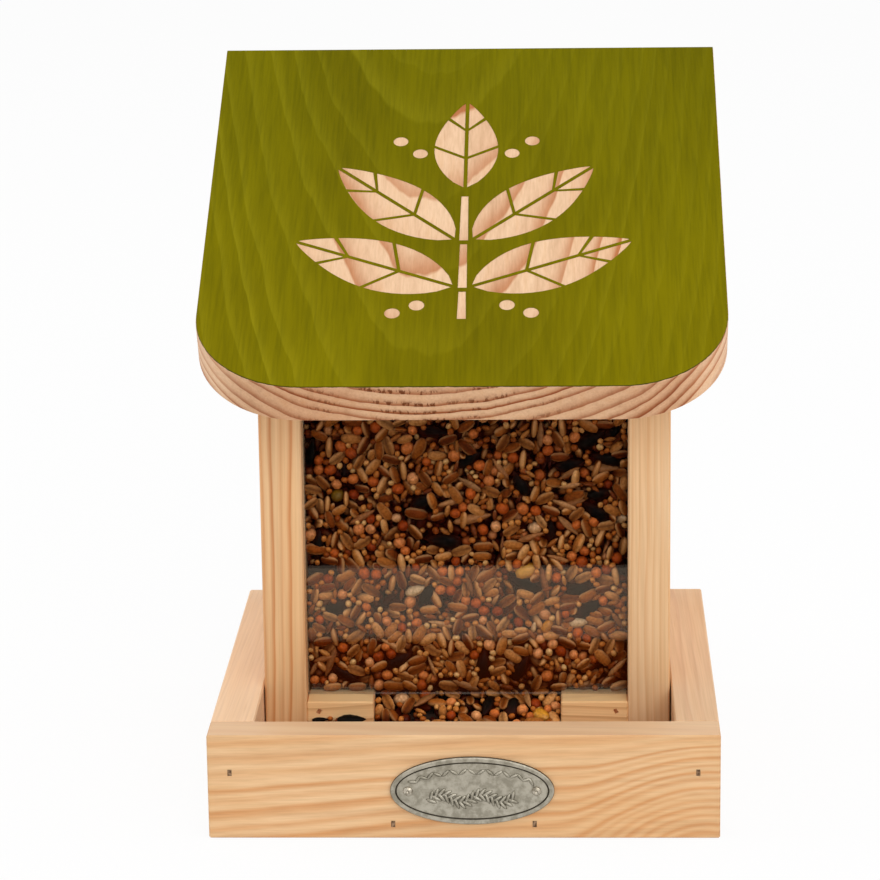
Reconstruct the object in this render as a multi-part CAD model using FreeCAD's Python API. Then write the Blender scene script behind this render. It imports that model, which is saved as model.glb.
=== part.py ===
import FreeCAD, Part
import math
import os

Vector = FreeCAD.Vector

# Tray: four pine pieces, open at the back corners
tray_width = 170.0
tray_depth = 167.0
rail_thickness = 14.8
rail_height = 36.0
floor_thickness = 10.0
arris = 0.5                      # eased edge on every board

# Silo: two walls and a back standing on the tray floor
silo_gap = 0.5                   # between each wall and the side rail beside it
wall_thickness = 14.3
back_thickness = 14.0
trough_width = 36.0              # clear space behind the front rail

# Pane: clear sheet in a kerf in each wall, standing on two blocks
pane_setback = 8.4
pane_thickness = 2.0
pane_clearance = 0.3
pane_lift = 2.0                  # free travel up to the shut roof
groove_depth = 4.0
block_width = 23.1
block_depth = 14.0
block_height = 20.6

# Roof: one sloping board, square at the front, plumb at the back
roof_overhang = 3.0              # beyond the tray at each side
roof_thickness = 15.0
roof_slope = 28.0
roof_front_setback = 3.8         # top front edge, behind the face of the tray
roof_front_height = 153.6        # top front edge, above the underside of the tray
roof_corner_radius = 36.0
roof_clearance = 0.3

# Butt hinges on the back
hinge_inset = 26.0               # middle of each hinge, in from the side of the silo
leaf_width = 25.0
leaf_height = 12.0
leaf_thickness = 1.0
knuckle_radius = 2.1
knuckle_length = 8.2             # of each of the two outer knuckles
knuckle_gap = 0.3
hinge_pin_radius = 0.9
hinge_pin_clearance = 0.05
hinge_screw_spacing = 15.0
hinge_screw_height = 7.4         # from the pin
hinge_screw_length = 10.0
hinge_screw_radius = 1.0
hinge_screw_head_radius = 1.75
hinge_screw_head_height = 1.3

# Brads of flat wire with a short T head, set a little below the surface
fastener_clearance = 0.05
tip_length = 2.0
brad_width = 1.3
brad_depth = 1.1
brad_head_width = 2.2
brad_head_height = 0.8
brad_sink = 0.3
brad_length = 30.0
rail_brad_height = 23.0
edge_brad_spacing = 47.0         # front rail into the floor's edge
side_brad_inset = 37.0           # from each end of a side rail
wall_brad_inset = 20.0           # floor into each wall, from its ends
back_brad_spacing = 60.0         # floor into the back board
back_brad_low = 62.0             # above the tray floor
back_brad_high = 168.0
toe_brad_length = 18.0
toe_brad_head_width = 1.5
toe_brad_angle = 30.0            # from straight back, towards the wall
toe_brad_inset = 4.3
toe_brad_drop = 3.5
toe_brad_sink = 0.2

# Oval metal plate on the front rail
plate_width = 54.4
plate_height = 23.5
plate_thickness = 1.2
plate_rim = 2.0
plate_recess = 0.3               # of the field inside the rim
plate_offset = 2.9               # centre of the plate, right of the middle
plate_lift = 17.0                # centre of the plate, above the underside
plate_nail_spacing = 42.6
plate_nail_length = 12.0
plate_nail_radius = 0.7
plate_nail_head_radius = 1.6
plate_nail_head_height = 1.0
nail_sides = 12                  # round nails and screws are drawn as regular prisms

# Seed in the hopper, the outlet and the trough
seed_headroom = 5.5              # below the roof, just behind the pane
seed_mound = 9.0                 # rise of the middle over the front
seed_back_drop = 3.0             # fall from the front to the back board
seed_lip_clearance = 0.3         # below the pane
seed_front_slope = 30.0          # as the seed lies in front of the outlet
seed_side_slope = 38.0           # and beyond its sides
grain_pitch = 15.0               # larger grains, standing out of the seed that shows
grain_length = 10.5
grain_width = 6.5
grain_rise = 2.5
grain_turn = 50.0                # from each grain to the next

slope = math.radians(roof_slope)
front_y = -tray_depth / 2
rear_y = tray_depth / 2
rail_inner_y = front_y + rail_thickness
rail_inner_x = tray_width / 2 - rail_thickness
wall_outer_x = rail_inner_x - silo_gap
wall_inner_x = wall_outer_x - wall_thickness
hinge_x = wall_outer_x - hinge_inset
wall_front_y = rail_inner_y + trough_width
back_front_y = rear_y - back_thickness
pane_front_y = wall_front_y + pane_setback
pane_back_y = pane_front_y + pane_thickness
pane_bottom_z = floor_thickness + block_height
roof_front_y = front_y + roof_front_setback
hinge_offset = knuckle_radius + knuckle_gap
grain_face_y = pane_back_y + pane_clearance
seed_face_y = grain_face_y + grain_rise
lip_z = pane_bottom_z - seed_lip_clearance
spill_slope = math.radians(seed_front_slope)
outlet_half = wall_inner_x - block_width


def underside(y):
    top = roof_front_height + (y - roof_front_y) * math.tan(slope)
    return top - roof_thickness / math.cos(slope)


def seat(y):
    return underside(y) - roof_clearance


hinge_y = rear_y + hinge_offset
hinge_z = (underside(rear_y) + seat(rear_y)) / 2


def eased(solid):
    return solid.makeChamfer(arris, solid.Edges)


def slab(low, high):
    size = Vector(*high) - Vector(*low)
    return Part.makeBox(size.x, size.y, size.z, Vector(*low))


def prism(points, run):
    outline = Part.makePolygon(points + points[:1])
    return Part.Face(outline).extrude(run)


def across(profile, low_x, high_x):
    # a (y, z) profile carried across the feeder from low_x to high_x
    return prism([Vector(low_x, y, z) for y, z in profile], Vector(high_x - low_x, 0, 0))


def faceted(profile, stretch=1):
    # a (radius, height) outline from axis to axis, carried round Z in flat sides, stretched along X
    turn = 2 * math.pi / nail_sides
    faces = []
    for (upper, high), (lower, low) in zip(profile, profile[1:]):
        for step in range(nail_sides):
            start = Vector(stretch * math.cos(step * turn), math.sin(step * turn), 0)
            stop = Vector(stretch * math.cos((step + 1) * turn), math.sin((step + 1) * turn), 0)
            top = [start * upper, stop * upper] if upper else [Vector()]
            base = [stop * lower, start * lower] if lower else [Vector()]
            corners = [point + Vector(0, 0, high) for point in top]
            corners += [point + Vector(0, 0, low) for point in base]
            faces.append(Part.Face(Part.makePolygon(corners + corners[:1])))
    shell = Part.Shell(faces)
    shell.sewShape()
    return Part.Solid(shell)


def floor_board():
    return eased(slab((-rail_inner_x, rail_inner_y, 0), (rail_inner_x, rear_y, floor_thickness)))


def front_rail():
    return eased(slab((-tray_width / 2, front_y, 0), (tray_width / 2, rail_inner_y, rail_height)))


def side_rail(side):
    inner, outer = sorted((side * rail_inner_x, side * tray_width / 2))
    return eased(slab((inner, rail_inner_y, 0), (outer, rear_y, rail_height)))


def silo_wall(side):
    low_x, high_x = sorted((side * wall_inner_x, side * wall_outer_x))
    profile = [(wall_front_y, floor_thickness), (back_front_y, floor_thickness),
               (back_front_y, seat(back_front_y)), (wall_front_y, seat(wall_front_y))]
    wall = eased(across(profile, low_x, high_x))
    groove_x = sorted((side * (wall_inner_x - groove_depth), side * (wall_inner_x + groove_depth)))
    groove = slab((groove_x[0], pane_front_y - pane_clearance, 0),
                  (groove_x[1], pane_back_y + pane_clearance, roof_front_height + tray_depth))
    return wall.cut(groove)


def back_board():
    profile = [(back_front_y, floor_thickness), (rear_y, floor_thickness),
               (rear_y, seat(rear_y)), (back_front_y, seat(back_front_y))]
    return eased(across(profile, -wall_outer_x, wall_outer_x))


def block_blank(side):
    low_x, high_x = sorted((side * outlet_half, side * wall_inner_x))
    return slab((low_x, wall_front_y, floor_thickness), (high_x, wall_front_y + block_depth, pane_bottom_z))


def stop_block(side):
    return eased(block_blank(side))


def front_pane():
    half = wall_inner_x + groove_depth - pane_clearance
    top = seat(pane_front_y) - pane_lift
    return slab((-half, pane_front_y, pane_bottom_z), (half, pane_back_y, top))


def roof_board():
    half = tray_width / 2 + roof_overhang
    length = (rear_y - roof_front_y) / math.cos(slope)
    radius = roof_corner_radius
    bow = radius * (1 - math.cos(math.radians(45)))
    left_arc = Part.Arc(Vector(-half, radius, 0), Vector(-half + bow, bow, 0), Vector(-half + radius, 0, 0))
    right_arc = Part.Arc(Vector(half - radius, 0, 0), Vector(half - bow, bow, 0), Vector(half, radius, 0))
    sides = Part.makePolygon([Vector(half, radius, 0), Vector(half, length, 0),
                              Vector(-half, length, 0), Vector(-half, radius, 0)])
    front = Part.makeLine(Vector(-half + radius, 0, 0), Vector(half - radius, 0, 0))
    outline = Part.Wire([left_arc.toShape(), front, right_arc.toShape()] + sides.Edges)
    board = Part.Face(outline).extrude(Vector(0, 0, -roof_thickness))
    board.rotate(Vector(0, 0, 0), Vector(1, 0, 0), roof_slope)
    board.translate(Vector(0, roof_front_y, roof_front_height))
    behind = slab((-tray_width, rear_y, 0), (tray_width, rear_y + tray_depth, roof_front_height + tray_depth))
    return eased(board.cut(behind).Solids[0])


def oval(inset, thickness):
    ellipse = Part.Ellipse(Vector(0, 0, 0), plate_width / 2 - inset, plate_height / 2 - inset)
    return Part.Face(Part.Wire(ellipse.toShape())).extrude(Vector(0, 0, thickness))


def oval_plate():
    field = oval(plate_rim, plate_thickness)
    field.translate(Vector(0, 0, plate_thickness - plate_recess))
    plate = oval(0, plate_thickness).cut(field)
    plate.rotate(Vector(0, 0, 0), Vector(1, 0, 0), 90)
    plate.translate(Vector(plate_offset, front_y, plate_lift))
    return plate


def hinge_leaf(side, way, knuckles):
    # way is -1 for the leaf below the pin and 1 for the leaf above it
    middle = side * hinge_x
    low_x, high_x = middle - leaf_width / 2, middle + leaf_width / 2
    shoulder = hinge_z + way * (knuckle_radius + knuckle_gap)
    end = hinge_z + way * leaf_height
    outer_y = rear_y + leaf_thickness
    leaf = slab((low_x, rear_y, min(shoulder, end)), (high_x, outer_y, max(shoulder, end)))
    for start, stop in knuckles:
        web = slab((middle + start, rear_y, min(hinge_z, shoulder)),
                   (middle + stop, outer_y, max(hinge_z, shoulder)))
        barrel = Part.makeCylinder(knuckle_radius, stop - start,
                                   Vector(middle + start, hinge_y, hinge_z), Vector(1, 0, 0))
        leaf = leaf.fuse([web, barrel])
    bore = Part.makeCylinder(hinge_pin_radius + hinge_pin_clearance, leaf_width,
                             Vector(low_x, hinge_y, hinge_z), Vector(1, 0, 0))
    return leaf.cut(bore).removeSplitter()


def lower_leaf(side):
    half = leaf_width / 2
    return hinge_leaf(side, -1, [(-half, knuckle_length - half), (half - knuckle_length, half)])


def upper_leaf(side):
    half = leaf_width / 2 - knuckle_length - knuckle_gap
    return hinge_leaf(side, 1, [(-half, half)])


def hinge_pin(side):
    start = Vector(side * hinge_x - leaf_width / 2, hinge_y, hinge_z)
    return Part.makeCylinder(hinge_pin_radius, leaf_width, start, Vector(1, 0, 0))


def hopper_seed():
    front_z = seat(grain_face_y) - seed_headroom
    back_z = front_z - seed_back_drop
    crown = Vector(-wall_inner_x, (seed_face_y + back_front_y) / 2, front_z + seed_mound)
    front_top = Vector(-wall_inner_x, seed_face_y, front_z)
    back_top = Vector(-wall_inner_x, back_front_y, back_z)
    ends = Part.makePolygon([back_top, Vector(-wall_inner_x, back_front_y, floor_thickness),
                             Vector(-wall_inner_x, seed_face_y, floor_thickness), front_top])
    surface = Part.Arc(front_top, crown, back_top).toShape()
    heap = Part.Face(Part.Wire([surface] + ends.Edges)).extrude(Vector(2 * wall_inner_x, 0, 0))
    return heap.cut([block_blank(-1), block_blank(1)])


def spaced(low, high):
    # places a pitch apart in the middle of a span
    count = int((high - low) / grain_pitch)
    start = (low + high - (count - 1) * grain_pitch) / 2
    return [start + step * grain_pitch for step in range(count)]


def grain_places():
    # staggered rows behind the pane, and one row on the slope of the outlet
    stagger = grain_pitch / 4
    places = []
    for row, z in enumerate(spaced(pane_bottom_z, seat(grain_face_y) - seed_headroom)):
        for x in spaced(stagger - wall_inner_x, wall_inner_x - stagger):
            places.append((Vector(x + stagger * (-1) ** row, seed_face_y, z), Vector(0, 1, 0)))
    inward = Vector(0, math.sin(spill_slope), -math.cos(spill_slope))
    for x in spaced(-outlet_half, outlet_half):
        places.append((Vector(x, wall_front_y, lip_z - pane_setback * math.tan(spill_slope)), inward))
    return places


def seed_grains():
    half = grain_width / 2
    crown = (half * math.sin(math.radians(45)), grain_rise * math.sin(math.radians(45)))
    grain = faceted([(0, grain_rise), crown, (half, 0), (0, -grain_rise)], grain_length / grain_width)
    return [placed(grain, place, step * grain_turn) for step, place in enumerate(grain_places())]


def seed_fill():
    depth = lip_z - floor_thickness
    toe_y = pane_front_y - depth / math.tan(spill_slope)
    toe_x = outlet_half + depth / math.tan(math.radians(seed_side_slope))
    spill = [(toe_y, floor_thickness), (seed_face_y, floor_thickness), (seed_face_y, lip_z), (pane_front_y, lip_z)]
    outlet = across(spill, -outlet_half, outlet_half)
    ridge = [(-toe_x, floor_thickness), (-outlet_half, lip_z), (outlet_half, lip_z), (toe_x, floor_thickness)]
    heap = prism([Vector(x, toe_y, z) for x, z in ridge], Vector(0, wall_front_y - toe_y, 0))
    trough = heap.common(across(spill, -toe_x, toe_x))
    tray = slab((-rail_inner_x, rail_inner_y, floor_thickness), (rail_inner_x, back_front_y, lip_z))
    spilled = outlet.fuse(trough).common(tray)
    return hopper_seed().fuse([spilled] + seed_grains()).removeSplitter()


def placed(shape, place, turn=0):
    # drives a shape that points down, along -Z, to its place: a point and a direction
    point, direction = place
    copy = shape.copy()
    rotation = FreeCAD.Rotation(Vector(0, 0, -1), direction)
    copy.Placement = FreeCAD.Placement(point, rotation * FreeCAD.Rotation(Vector(0, 0, 1), turn))
    return copy


def brad_form(length, sink, head_width, slack, top):
    neck = -sink - brad_head_height
    half = brad_width / 2 + slack
    deep = brad_depth / 2 + slack
    wide = head_width / 2 + slack
    outline = [(-half, neck), (half, neck), (half, tip_length - length), (0, -length - slack),
               (-half, tip_length - length)]
    shank = prism([Vector(x, -deep, z) for x, z in outline], Vector(0, 2 * deep, 0))
    return shank.fuse(slab((-half, -wide, neck), (half, wide, top))).removeSplitter()


def brad(length, sink, head_width):
    # the brad, and the hole that it leaves, open above the surface
    solid = brad_form(length, sink, head_width, 0, -sink)
    return solid, brad_form(length, sink, head_width, fastener_clearance, head_width)


def round_nail(head_radius, head_height, radius, length):
    wide = radius + fastener_clearance
    crown = (head_radius * math.sin(math.radians(45)), head_height * math.sin(math.radians(45)))
    taper = tip_length - length
    solid = faceted([(0, head_height), crown, (head_radius, 0), (radius, 0), (radius, taper), (0, -length)])
    hole = faceted([(0, wide), (wide, wide), (wide, taper), (0, -length - wide)])
    return solid, hole


def front_rail_brad_places():
    rail_x = tray_width / 2 - rail_thickness / 2
    spots = [(-rail_x, rail_brad_height), (rail_x, rail_brad_height),
             (-edge_brad_spacing / 2, floor_thickness / 2), (edge_brad_spacing / 2, floor_thickness / 2)]
    return [(Vector(x, front_y, z), Vector(0, 1, 0)) for x, z in spots]


def side_rail_brad_places(side):
    spots = [rail_inner_y + side_brad_inset, rear_y - side_brad_inset]
    return [(Vector(side * tray_width / 2, y, floor_thickness / 2), Vector(-side, 0, 0)) for y in spots]


def back_board_brad_places():
    x = (wall_outer_x + wall_inner_x) / 2
    heights = (floor_thickness + back_brad_low, floor_thickness + back_brad_high)
    return [(Vector(side * x, rear_y, z), Vector(0, -1, 0)) for side in (-1, 1) for z in heights]


def stop_block_brad_places():
    angle = math.radians(toe_brad_angle)
    x = wall_inner_x - toe_brad_inset
    z = pane_bottom_z - toe_brad_drop
    return [(Vector(side * x, wall_front_y, z), Vector(side * math.sin(angle), math.cos(angle), 0))
            for side in (-1, 1)]


def floor_brad_places():
    wall_x = (wall_outer_x + wall_inner_x) / 2
    back_y = (back_front_y + rear_y) / 2
    spots = [(wall_x, wall_front_y + wall_brad_inset), (wall_x, back_front_y - wall_brad_inset),
             (back_brad_spacing / 2, back_y)]
    return [(Vector(side * x, y, 0), Vector(0, 0, 1)) for side in (-1, 1) for x, y in spots]


def plate_nail_places():
    face_y = front_y - plate_thickness + plate_recess
    return [(Vector(plate_offset + side * plate_nail_spacing / 2, face_y, plate_lift), Vector(0, 1, 0))
            for side in (-1, 1)]


def hinge_screw_places(way):
    z = hinge_z + way * hinge_screw_height
    return [(Vector(side * hinge_x + end * hinge_screw_spacing / 2, rear_y + leaf_thickness, z),
             Vector(0, -1, 0)) for side in (-1, 1) for end in (-1, 1)]


nodes = {
    "floor_board": floor_board(),
    "front_rail": front_rail(),
    "left_rail": side_rail(-1),
    "right_rail": side_rail(1),
    "left_wall": silo_wall(-1),
    "right_wall": silo_wall(1),
    "back_board": back_board(),
    "left_stop_block": stop_block(-1),
    "right_stop_block": stop_block(1),
    "front_pane": front_pane(),
    "roof_board": roof_board(),
    "oval_plate": oval_plate(),
    "left_hinge_lower_leaf": lower_leaf(-1),
    "right_hinge_lower_leaf": lower_leaf(1),
    "left_hinge_upper_leaf": upper_leaf(-1),
    "right_hinge_upper_leaf": upper_leaf(1),
    "left_hinge_pin": hinge_pin(-1),
    "right_hinge_pin": hinge_pin(1),
    "seed_fill": seed_fill(),
}

long_brad = brad(brad_length, brad_sink, brad_head_width)
toe_brad = brad(toe_brad_length, toe_brad_sink, toe_brad_head_width)
plate_nail = round_nail(plate_nail_head_radius, plate_nail_head_height,
                        plate_nail_radius, plate_nail_length)
hinge_screw = round_nail(hinge_screw_head_radius, hinge_screw_head_height,
                         hinge_screw_radius, hinge_screw_length)

# Each group of fasteners, its places, and the pieces that it is driven into
fastenings = {
    "front_rail_brads": (long_brad, front_rail_brad_places(),
                         ["front_rail", "left_rail", "right_rail", "floor_board"]),
    "left_rail_brads": (long_brad, side_rail_brad_places(-1), ["left_rail", "floor_board"]),
    "right_rail_brads": (long_brad, side_rail_brad_places(1), ["right_rail", "floor_board"]),
    "floor_brads": (long_brad, floor_brad_places(), ["floor_board", "left_wall", "right_wall", "back_board"]),
    "back_board_brads": (long_brad, back_board_brad_places(), ["back_board", "left_wall", "right_wall"]),
    "stop_block_brads": (toe_brad, stop_block_brad_places(),
                         ["left_stop_block", "right_stop_block", "left_wall", "right_wall"]),
    "plate_nails": (plate_nail, plate_nail_places(), ["oval_plate", "front_rail"]),
    "lower_hinge_screws": (hinge_screw, hinge_screw_places(-1),
                           ["left_hinge_lower_leaf", "right_hinge_lower_leaf", "back_board"]),
    "upper_hinge_screws": (hinge_screw, hinge_screw_places(1),
                           ["left_hinge_upper_leaf", "right_hinge_upper_leaf", "roof_board"]),
}

for name, (fastener, places, pieces) in fastenings.items():
    solid, hole = fastener
    nodes[name] = Part.makeCompound([placed(solid, place) for place in places])
    holes = [placed(hole, place) for place in places]
    for piece in pieces:
        nodes[piece] = nodes[piece].cut(holes)

os.makedirs("parts", exist_ok=True)
for name, shape in nodes.items():
    solids = shape.Solids
    result = solids[0] if len(solids) == 1 else Part.makeCompound(solids)
    result.exportStep("parts/" + name + ".step")
    print(name, len(solids), "solids,", round(shape.Volume / 1000, 2), "cm3, valid", shape.isValid())
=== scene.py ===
import math

import bmesh
import bpy
import numpy as np
from mathutils import Matrix, Vector, kdtree


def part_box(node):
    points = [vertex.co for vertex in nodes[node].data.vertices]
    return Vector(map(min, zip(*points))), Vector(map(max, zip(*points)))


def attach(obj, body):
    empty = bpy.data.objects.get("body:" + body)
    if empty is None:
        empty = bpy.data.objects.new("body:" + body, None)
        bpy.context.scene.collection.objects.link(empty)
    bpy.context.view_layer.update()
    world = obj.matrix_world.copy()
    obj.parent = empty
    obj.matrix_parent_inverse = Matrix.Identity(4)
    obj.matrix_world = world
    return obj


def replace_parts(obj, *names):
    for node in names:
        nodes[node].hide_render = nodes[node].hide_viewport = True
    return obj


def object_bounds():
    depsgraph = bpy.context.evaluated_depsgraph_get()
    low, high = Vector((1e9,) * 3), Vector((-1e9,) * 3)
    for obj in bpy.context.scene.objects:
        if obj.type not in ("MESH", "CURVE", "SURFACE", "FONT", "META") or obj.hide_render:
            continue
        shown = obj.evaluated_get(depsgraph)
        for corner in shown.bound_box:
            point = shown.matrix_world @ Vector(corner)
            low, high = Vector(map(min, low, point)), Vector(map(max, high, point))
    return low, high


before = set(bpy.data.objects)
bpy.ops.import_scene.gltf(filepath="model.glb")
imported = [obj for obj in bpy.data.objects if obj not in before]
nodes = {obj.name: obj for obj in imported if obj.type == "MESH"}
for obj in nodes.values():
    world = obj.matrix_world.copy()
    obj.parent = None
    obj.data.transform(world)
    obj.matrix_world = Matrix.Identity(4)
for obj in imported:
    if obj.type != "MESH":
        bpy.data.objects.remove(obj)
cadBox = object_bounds()
scene = bpy.context.scene
scene.view_settings.view_transform = "Standard"
mm = 0.001
xWay, yWay, zWay = Vector((1, 0, 0)), Vector((0, 1, 0)), Vector((0, 0, 1))
print("frame loaded:", len(nodes), "nodes")


def srgb(red, green, blue):
    # display colour, 0 to 255, to the linear values that a shader takes
    levels = [level / 255 for level in (red, green, blue)]
    linear = [level / 12.92 if level <= 0.04045 else ((level + 0.055) / 1.055) ** 2.4 for level in levels]
    return (*linear, 1.0)


white = srgb(255, 255, 255)


class NodePen:
    # writes the nodes of one tree
    def __init__(self, tree):
        tree.nodes.clear()
        self.tree = tree

    def add(self, kind, inputs=None, **settings):
        made = self.tree.nodes.new(kind if "Node" in kind else "ShaderNode" + kind)
        for key, value in settings.items():
            setattr(made, key, value)
        for key, value in (inputs or {}).items():
            if isinstance(value, bpy.types.NodeSocket):
                self.tree.links.new(value, made.inputs[key])
            else:
                made.inputs[key].default_value = value
        return made

    def out(self, kind, inputs=None, **settings):
        return self.add(kind, inputs, **settings).outputs[0]

    def calc(self, operation, first, second=0.0):
        return self.out("Math", {0: first, 1: second}, operation=operation)

    def plus(self, first, second):
        return self.calc("ADD", first, second)

    def times(self, first, second):
        return self.calc("MULTIPLY", first, second)

    def vector(self, operation, first, second=(0, 0, 0)):
        made = self.add("VectorMath", {0: first, 1: second}, operation=operation)
        return made.outputs["Value" if operation in ("DOT_PRODUCT", "DISTANCE", "LENGTH") else "Vector"]

    def axis(self, vector, name):
        return self.add("SeparateXYZ", {0: vector}).outputs[name]

    def spread(self, value, low, high, newLow=0.0, newHigh=1.0):
        inputs = {0: value, 1: low, 2: high, 3: newLow, 4: newHigh}
        return self.out("MapRange", inputs, interpolation_type="SMOOTHSTEP")

    def mix(self, share, first, second, blend="MIX"):
        inputs = {0: share, 6: first, 7: second}
        return self.add("Mix", inputs, data_type="RGBA", blend_type=blend).outputs[2]

    def tone(self, colour, shade, share=1.0):
        return self.mix(share, colour, shade, "MULTIPLY")

    def ramp(self, value, *stops):
        made = self.add("ValToRGB", {0: value})
        elements = made.color_ramp.elements
        elements.remove(elements[1])
        elements[0].position, elements[0].color = stops[0]
        for position, colour in stops[1:]:
            elements.new(position).color = colour
        return made.outputs[0]

    def noise(self, vector, scale, detail=2.0, rough=0.5, squeeze=None):
        # squeeze stretches the pattern along an axis
        if squeeze:
            vector = self.vector("MULTIPLY", vector, squeeze)
        inputs = {"Vector": vector, "Scale": scale, "Detail": detail, "Roughness": rough}
        return self.out("TexNoise", inputs)

    def coordinate(self, name):
        return self.add("TexCoord").outputs[name]

    def attribute(self, name, part="Fac"):
        return self.add("Attribute", attribute_name=name).outputs[part]

    def mixShader(self, share, first, second):
        return self.out("MixShader", {0: share, 1: first, 2: second})

    def close(self, surface):
        self.add("OutputMaterial", {"Surface": surface})

    def paint(self, colour, rough, relief=None, shine=0.5, metallic=0.0):
        # relief is a height, its strength and its distance
        inputs = {"Base Color": colour, "Roughness": rough,
                  "Specular IOR Level": shine, "Metallic": metallic}
        if relief:
            inputs["Normal"] = self.out("Bump", dict(zip(("Height", "Strength", "Distance"), relief)))
        self.close(self.out("BsdfPrincipled", inputs))


def newMaterial(name):
    material = bpy.data.materials.new(name)
    material.use_nodes = True
    return material, NodePen(material.node_tree)


def dressNode(name, material):
    mesh = nodes[name].data
    mesh.materials.clear()
    mesh.materials.append(material)


def addObject(name, data):
    made = bpy.data.objects.new(name, data)
    scene.collection.objects.link(made)
    return made


def addPiece(name, mesh, material, body, slot):
    mesh.materials.clear()
    mesh.materials.append(material)
    piece = addObject(name, mesh)
    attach(piece, body)
    return piece


def bridge(form, rings, caps=()):
    # faces from ring to ring, where a ring of one point is a pole, and a face over each cap
    for lower, upper in zip(rings, rings[1:]):
        count = max(len(lower), len(upper))
        for step in range(count):
            after = (step + 1) % count
            corners = [lower[step % len(lower)], lower[after % len(lower)],
                       upper[after % len(upper)], upper[step % len(upper)]]
            form.faces.new(list(dict.fromkeys(corners)))
    for cap in caps:
        form.faces.new(cap)


def meshFromBmesh(name, form, smooth=True):
    bmesh.ops.recalc_face_normals(form, faces=form.faces)
    mesh = bpy.data.meshes.new(name)
    form.to_mesh(mesh)
    form.free()
    for polygon in mesh.polygons:
        polygon.use_smooth = smooth
    return mesh


# camera at the photograph's place
cameraLook = dict(
    place=(0.03386, -1.16459, 0.41358), pitch=14.354, yaw=2.127, roll=-0.737,
    lens=141.51, sensor=36.0, farClip=50)


def makeCamera(look):
    data = bpy.data.cameras.new("camera")
    data.sensor_width = look["sensor"]
    data.lens = look["lens"]
    data.clip_end = look["farClip"]
    place = Matrix.Translation(look["place"])
    for angle, axis in ((look["yaw"], "Z"), (90 - look["pitch"], "X"), (look["roll"], "Z")):
        place = place @ Matrix.Rotation(math.radians(angle), 4, axis)
    scene.camera = addObject("camera", data)
    scene.camera.matrix_world = place


# pale floor, soft lights, and cards that only reflections see
stageLook = dict(
    floorHalf=6.0,
    floorDrop=0.3 * mm,
    floorColour=(0.9, 0.9, 0.9, 1.0),
    floorGlow=0.92,  # share of plain white, so that only the shadow shows
    skyLight=0.62,
    cardHalf=0.8,
    cardLift=0.5 * mm,
    # near edge, far edge and colour; the second shows in the pane as a soft band
    cards=[(-0.75, -0.280, srgb(12, 10, 8)), (-0.280, -0.185, srgb(232, 208, 180))],
    # the flag glows and only reflections see it: a painted warm reflection at the foot of the pane
    flag=(0.2 * mm, 0.6 * mm, srgb(124, 44, 4)),  # stands behind the front rail, a little below its top
    # place, size and power
    lamps=dict(
        keyLamp=((0.6, -2.2, 1.2), 1.4, 14.5),
        fillLamp=((1.4, -1.5, 1.1), 1.6, 7.0),
        leftLamp=((-1.8, 0.2, 1.3), 1.4, 10.0),
        rightLamp=((1.9, 0.3, 1.3), 1.4, 7.0),
        topLamp=((0.1, -0.5, 2.2), 1.6, 7.0),
    ),
)


def seenDirectly(pen):
    # 1 for what the camera sees, also in a mirror or through glass
    rays = pen.add("LightPath").outputs
    either = pen.calc("MAXIMUM", rays["Is Camera Ray"], rays["Is Glossy Ray"])
    return pen.calc("MAXIMUM", either, rays["Is Transmission Ray"])


def levelCorners(half, near, far, height):
    return [(-half, near, height), (half, near, height), (half, far, height), (-half, far, height)]


def stageSheet(name, corners, material):
    form = bmesh.new()
    form.faces.new([form.verts.new(corner) for corner in corners])
    mesh = meshFromBmesh(name, form, smooth=False)
    mesh.materials.append(material)
    sheet = addObject(name, mesh)
    return sheet


def makeStage(look):
    material, pen = newMaterial("paleFloor")
    plain = pen.out("BsdfDiffuse", {"Color": look["floorColour"]})
    glow = pen.out("Emission", {"Strength": 1.0})
    pen.close(pen.mixShader(pen.times(seenDirectly(pen), look["floorGlow"]), plain, glow))
    half = look["floorHalf"]
    stageSheet("floor", levelCorners(half, -half, half, -look["floorDrop"]), material)

    sheets = [(levelCorners(look["cardHalf"], near, far, look["cardLift"]), colour)
              for near, far, colour in look["cards"]]
    rail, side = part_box("front_rail"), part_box("left_rail")[1].x
    away, below, flagColour = look["flag"]
    behind, low, high = rail[1].y + away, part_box("floor_board")[1].z, rail[1].z - below
    flag = [(side, behind, low), (-side, behind, low), (-side, behind, high), (side, behind, high)]
    sheets.append((flag, flagColour))
    for index, (corners, colour) in enumerate(sheets):
        material, pen = newMaterial(f"card{index}")
        pen.close(pen.out("Emission", {"Color": colour}))
        card = stageSheet(f"card{index}", corners, material)
        for way in ("camera", "diffuse", "transmission", "volume_scatter", "shadow"):
            setattr(card, "visible_" + way, False)

    scene.world = bpy.data.worlds.new("studio")
    scene.world.use_nodes = True
    pen = NodePen(scene.world.node_tree)
    strength = pen.spread(seenDirectly(pen), 0, 1, look["skyLight"], 1.0)
    pen.add("OutputWorld", {"Surface": pen.out("Background", {"Color": white, "Strength": strength})})

    aim = (cadBox[0] + cadBox[1]) / 2
    for name, (place, size, power) in look["lamps"].items():
        data = bpy.data.lights.new(name, "AREA")
        data.shape = "DISK"
        data.size = size
        data.energy = power
        turn = (aim - Vector(place)).to_track_quat("-Z", "Y").to_matrix().to_4x4()
        addObject(name, data).matrix_world = Matrix.Translation(place) @ turn


makeCamera(cameraLook)
makeStage(stageLook)
print("camera and stage ready")


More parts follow.
